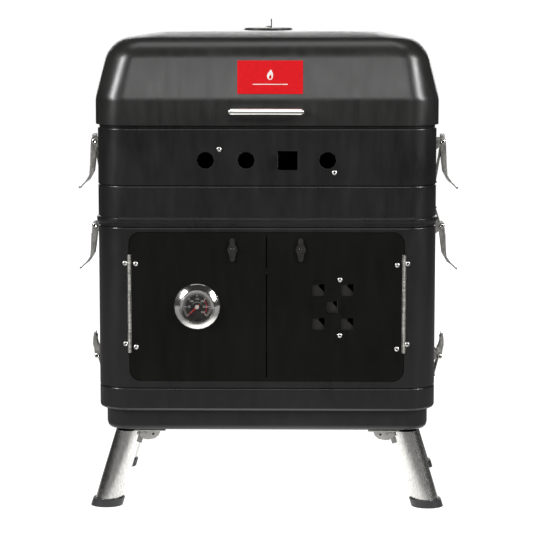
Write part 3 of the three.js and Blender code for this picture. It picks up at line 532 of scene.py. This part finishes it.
def bolt(at, direction, length, r, head):
    """A bolt through a length, with a washer, a head 2.8 high and a nut 3 high."""
    place = facing(at, direction)
    end = length / 2
    washer = 0.8
    rim = head * 1.15
    front_washer = [(r, end), (rim, end), (rim, end + washer), (r, end + washer)]
    back_washer = [(r, -end - washer), (rim, -end - washer), (rim, -end), (r, -end)]
    return joined(
        [
            turned([(0, -end - 4.6), (r, -end - 4.6), (r, end + 1), (0, end + 1)], 16, place),
            turned(front_washer, 24, place),
            turned(back_washer, 24, place),
            prism(hexagon(head), end + washer, end + washer + 2.8, place),
            prism(hexagon(head), -end - washer - 3, -end - washer, place),
        ]
    )


CHEEKS = 24.9  # over a bracket's two cheeks
CHEEK_FACE = 12.32
# Thin near-black discs on the brackets' cheeks: painted shade where their holes are.
HOLE_SHADE_DISC = [(0, 0.02), (1.6, 0.02), (1.6, -0.02), (0, -0.02)]
for side, s in SIDES:
    pivots = [pivot(f"{side}_{end}_leg_fold") for end in ("front", "rear")]
    parts = [bolt(at, OUT, CHEEKS, 2.3, 4.4) for at in pivots]
    piece(f"{side}_leg_bolts", *joined(parts), "rivet", "body", "zinc_steel", angle=25)
    hole_shades = []
    for at in pivots:
        for u in (-1, 1):
            hole = at + Vector((-s * 12, u * CHEEK_FACE, 1))
            hole_shades.append(turned(HOLE_SHADE_DISC, 14, facing(hole, (0, u, 0))))
    piece(f"{side}_bracket_holes", *joined(hole_shades), "dark", "body", "zinc_steel")

# Damper screw on the lid's top.
SEAT = 616.4
WASHER_THICK = 0.3
SCREW_DOME = [(0, 2.6), (2.2, 2.5), (3.9, 1.7), (4.6, 0.5), (4.6, 0.02), (0, 0.02)]
SCREW_WASHER = [(2.2, WASHER_THICK), (7, WASHER_THICK), (7, 0.02), (2.2, 0.02)]
UP = (0, 0, 1)
piece(
    "damper_screw",
    *joined(
        [
            turned(SCREW_DOME, 24, facing((0, MIDDLE_Y, SEAT + WASHER_THICK), UP)),
            turned(SCREW_WASHER, 24, facing((0, MIDDLE_Y, SEAT), UP)),
        ]
    ),
    "rivet",
    "lid_damper",
    "dark_zinc",
)

# ------------------------------------------------------------------ badge: a plain plate with a simple flame
LID_SLOPE = 0.2409  # the lid's face leans back by this much for each unit up
LEAN = math.atan(LID_SLOPE)
SLOPE_FOOT = (FRONT - 1.6, 534)  # y and z where the lid's face starts to lean
BADGE_SIZE = (83, 43)
BADGE_X, BADGE_Z = 4.5, 557.5
BADGE_THICK = 0.6
INK = 0.12
badge_y = SLOPE_FOOT[0] + (BADGE_Z - SLOPE_FOOT[1]) * LID_SLOPE
outward = Vector((0, -math.cos(LEAN), math.sin(LEAN)))
up = Vector((0, math.sin(LEAN), math.cos(LEAN)))
across = up.cross(outward)
plate = Matrix((across, up, outward)).transposed().to_4x4()
plate.translation = Vector((BADGE_X, badge_y, BADGE_Z)) + outward * 0.25
piece("badge", *prism(rounded(*BADGE_SIZE, 1.2), 0, BADGE_THICK, plate), "badge", "lid", "pointer_red")


def flame_outline(points=40, height=6.6, half_width=4.6, rise=3.2):
    """A drop that narrows and bends towards its tip."""
    outline = []
    for i in range(points):
        t = 2 * math.pi * i / points
        y = -math.cos(t)
        taper = 1 - 0.42 * (y + 1) / 2
        tip = 1 if y < 0.2 else 1 - 0.55 * (y - 0.2)
        bend = 0.9 * math.sin(2.2 * y) * (y + 1) / 2
        outline.append((half_width * math.sin(t) * taper * tip + bend, height * y + rise))
    return outline


flame = flame_outline()
line = [(-22, -9.6), (22, -9.6), (22, -8.6), (-22, -8.6)]
core = [(x * 0.42 + 0.2, (y - 3.2) * 0.45 + 0.6) for x, y in flame]
ink_top = BADGE_THICK + INK
printed = [prism(flame, BADGE_THICK, ink_top, plate), prism(line, BADGE_THICK, ink_top, plate)]
piece("badge_flame", *joined(printed), "white", "lid", "pointer_red")
piece("badge_flame_core", *prism(core, ink_top, ink_top + 0.08, plate), "badge", "lid", "pointer_red")

# ------------------------------------------------------------------ thermometer printing
DIAL = Vector((DIAL_X, DOOR - 4.25, DIAL_Z))


def on_dial(r, degrees):
    """A point at a radius and a clock angle, with x to the right and y up as seen from the front."""
    a = math.radians(degrees)
    return (r * math.sin(a), r * math.cos(a))


# Turns a drawing in (x, y) to face the front: x to the right, y up and z out of the door.
UPRIGHT = Matrix(((1, 0, 0, 0), (0, 0, -1, 0), (0, 1, 0, 0), (0, 0, 0, 1)))
flip = Matrix.Translation(DIAL) @ UPRIGHT
SWEEP = 133
TICKS = 30
TICK_END = 16.6
LABELS = ("0", "50", "100", "150", "200", "250", "300")
LABEL_RADIUS = 10.1
ticks = []
for i in range(TICKS + 1):
    a = -SWEEP + 2 * SWEEP * i / TICKS
    major = i % 5 == 0
    start, half = (13.2, 0.42) if major else (14.9, 0.2)
    x0, y0 = on_dial(start, a)
    x1, y1 = on_dial(TICK_END, a)
    nx, ny = on_dial(half, a + 90)
    corners = [(x0 - nx, y0 - ny), (x0 + nx, y0 + ny), (x1 + nx, y1 + ny), (x1 - nx, y1 - ny)]
    ticks.append(prism(corners, 0.04, 0.1, flip))


def arc(r0, r1, a0, a1, steps):
    outer = [on_dial(r1, a0 + (a1 - a0) * i / steps) for i in range(steps + 1)]
    back = [on_dial(r0, a1 + (a0 - a1) * i / steps) for i in range(steps + 1)]
    parts = []
    for i in range(steps):
        quad = [outer[i], outer[i + 1], back[steps - i - 1], back[steps - i]]
        parts.append(prism(quad, 0.04, 0.09, flip))
    return joined(parts)


ticks.append(arc(17.0, 17.35, -SWEEP, SWEEP, 60))
ticks.append(arc(6.2, 6.5, -60, 60, 20))
piece("dial_marks", *joined(ticks), "white", "left_door", "dial_black", smooth=False)
piece("dial_hot_zone", *arc(12.1, 12.9, 45, SWEEP, 18), "red", "left_door", "dial_black", smooth=False)
for i, label in enumerate(LABELS):
    a = -SWEEP + 2 * SWEEP * i / (len(LABELS) - 1)
    x, y = on_dial(LABEL_RADIUS, a)
    curve = bpy.data.curves.new(f"dial_number_{i}", "FONT")
    curve.body = label
    curve.size = 3.5 * MM
    curve.align_x = curve.align_y = "CENTER"
    curve.extrude = 0.00003
    curve.materials.append(M["white"])
    text = bpy.data.objects.new(f"dial_number_{i}", curve)
    scene.collection.objects.link(text)
    text.matrix_world = (
        Matrix.Translation((DIAL + Vector((x, -0.08, y))) * MM) @ Matrix.Rotation(math.pi / 2, 4, "X")
    )
    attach(text, "left_door")
HUB_DOME = [(0, 1.5), (1.6, 1.4), (2.5, 0.9), (2.7, 0.0), (2.7, -0.3)]
piece(
    "needle_hub",
    *turned(HUB_DOME, 24, facing(DIAL + Vector((0, -1.6, 0)), OUT)),
    "rivet",
    "pointer",
    "pointer_red",
)
# The bezel's grip ring, and the nut on the stem behind the door.
BEAD = [(20.9, 8.65), (21.6, 9.0), (22.4, 8.6), (22.9, 7.7), (22.5, 7.4)]
piece(
    "bezel_bead",
    *turned(BEAD, 72, facing((DIAL_X, DOOR - 0.3, DIAL_Z), OUT)),
    "polished",
    "left_door",
    "polished_steel",
)
inside = facing((DIAL_X, DOOR + SHEET, DIAL_Z), (0, 1, 0))
NUT_WASHER = [(3.3, 0.3), (9, 0.3), (9, 1.1), (3.3, 1.1)]
piece(
    "thermometer_nut",
    *joined([prism(hexagon(7.5), 1.1, 5.2, inside), turned(NUT_WASHER, 28, inside)]),
    "zinc",
    "left_door",
    "zinc_steel",
    angle=25,
)

# ------------------------------------------------------------------ door latches
# A slotted stud on each wing, and a nut on each cam.
WING_FACE = DOOR - 2.7
CAM_FACE = DOOR + SHEET + 3.9
STUD = [(0, 0.7), (1.9, 0.7), (2.4, 0.3), (2.4, 0.02), (0, 0.02)]
SLOT = [(-0.4, -11), (0.4, -11), (0.4, -5), (-0.4, -5)]
for side, s in SIDES:
    at = Vector((s * WING.x, WING_FACE, WING.z))
    stud = facing(at, OUT)
    piece(
        f"{side}_wing_stud",
        *joined(
            [
                turned(STUD, 20, stud),
                prism(SLOT, -0.1, 0.12, Matrix.Translation(at) @ UPRIGHT),
            ]
        ),
        "dark_zinc",
        f"{side}_door_latch",
        "dark_zinc",
    )
    piece(
        f"{side}_cam_nut",
        *prism(hexagon(4.6), 0.05, 2.9, facing((s * WING.x, CAM_FACE, WING.z), (0, 1, 0))),
        "zinc",
        f"{side}_door_latch",
        "zinc_steel",
        angle=25,
    )

# ------------------------------------------------------------------ floor, lights and camera
floor_mesh = bpy.data.meshes.new("floor")
bm = bmesh.new()
bmesh.ops.create_circle(bm, cap_ends=True, radius=30, segments=64)
bm.to_mesh(floor_mesh)
bm.free()
floor = bpy.data.objects.new("floor", floor_mesh)
scene.collection.objects.link(floor)
n = Nodes("floor_white")
n.colour(n.ramp(n.noise(2, 2), [(0.0, (0.3, 0.3, 0.3)), (1.0, (0.33, 0.33, 0.33))]))
n.set(Roughness=0.9, Specular_IOR_Level=0.1)
# The sweep looks white, and only the floor near the part throws light back up at it.
rays = n.new("ShaderNodeLightPath")
away = n.new("ShaderNodeVectorMath", operation="LENGTH")
n.link(n.coords.outputs["Object"], away.inputs[0])
GLOW = 1.7
near = n.span(away.outputs["Value"], GLOW, 0.0, 0.14, 0.4)
near_glow = n.new("ShaderNodeEmission")
n.link(near, near_glow.inputs["Strength"])
white = n.new("ShaderNodeEmission")
white.inputs["Strength"].default_value = 1.0
part_white = n.new("ShaderNodeMixShader")
n.link(rays.outputs["Is Camera Ray"], part_white.inputs["Fac"])
n.link(near_glow.outputs["Emission"], part_white.inputs[1])
n.link(white.outputs["Emission"], part_white.inputs[2])
both = n.new("ShaderNodeAddShader")
n.link(n.bsdf.outputs["BSDF"], both.inputs[0])
n.link(part_white.outputs["Shader"], both.inputs[1])
n.link(both.outputs["Shader"], n.tree.nodes["Material Output"].inputs["Surface"])
floor_mesh.materials.append(n.mat)

world = bpy.data.worlds.new("studio")
scene.world = world
world.use_nodes = True
wt = world.node_tree
bg = wt.nodes["Background"]
bg.inputs["Color"].default_value = (1, 1, 1, 1)
bg.inputs["Strength"].default_value = 1.05
dim = wt.nodes.new("ShaderNodeBackground")
dim.inputs["Color"].default_value = (1, 1, 1, 1)
dim.inputs["Strength"].default_value = 0.035
rays = wt.nodes.new("ShaderNodeLightPath")
mix = wt.nodes.new("ShaderNodeMixShader")
wt.links.new(rays.outputs["Is Camera Ray"], mix.inputs["Fac"])
wt.links.new(dim.outputs["Background"], mix.inputs[1])
wt.links.new(bg.outputs["Background"], mix.inputs[2])
wt.links.new(mix.outputs["Shader"], wt.nodes["World Output"].inputs["Surface"])


def softbox(name, at, size, power, target=(0, 0, 0.32)):
    light = bpy.data.lights.new(name, "AREA")
    light.shape = "RECTANGLE"
    light.size, light.size_y = size
    light.energy = power
    obj = bpy.data.objects.new(name, light)
    obj.location = at
    obj.rotation_mode = "QUATERNION"
    obj.rotation_quaternion = (Vector(target) - Vector(at)).to_track_quat("-Z", "Y")
    obj.visible_camera = False
    scene.collection.objects.link(obj)


softbox("top", at=(0, 0.1, 2.4), size=(1.6, 0.8), power=8, target=(0, 0, 0.4))
softbox("left", at=(-2.0, -1.35, 1.5), size=(0.4, 1.2), power=52)
softbox("right", at=(2.1, -1.3, 1.5), size=(0.4, 1.2), power=50)
softbox("back", at=(0, 3.0, 1.1), size=(3.4, 1.0), power=36, target=(0, 0, 0.5))
softbox("front", at=(0.15, -2.9, 1.75), size=(2.4, 0.9), power=24)

cam_data = bpy.data.cameras.new("camera")
cam = bpy.data.objects.new("camera", cam_data)
scene.collection.objects.link(cam)
scene.camera = cam
SENSOR = 36
DISTANCE = 2.8
VIEW_WIDTH = 0.67287  # what the picture spans at the body's front
cam_data.sensor_width = SENSOR
cam_data.lens = SENSOR * DISTANCE / VIEW_WIDTH
EYE_HEIGHT = 0.68
AIM_HEIGHT = 0.3175
cam.location = (0.045, FRONT * MM - DISTANCE, EYE_HEIGHT)
aim = Vector((0.0, FRONT * MM, AIM_HEIGHT))
cam.rotation_mode = "QUATERNION"
cam.rotation_quaternion = (aim - cam.location).to_track_quat("-Z", "Y")
scene.view_settings.view_transform = "Standard"
scene.view_settings.look = "None"
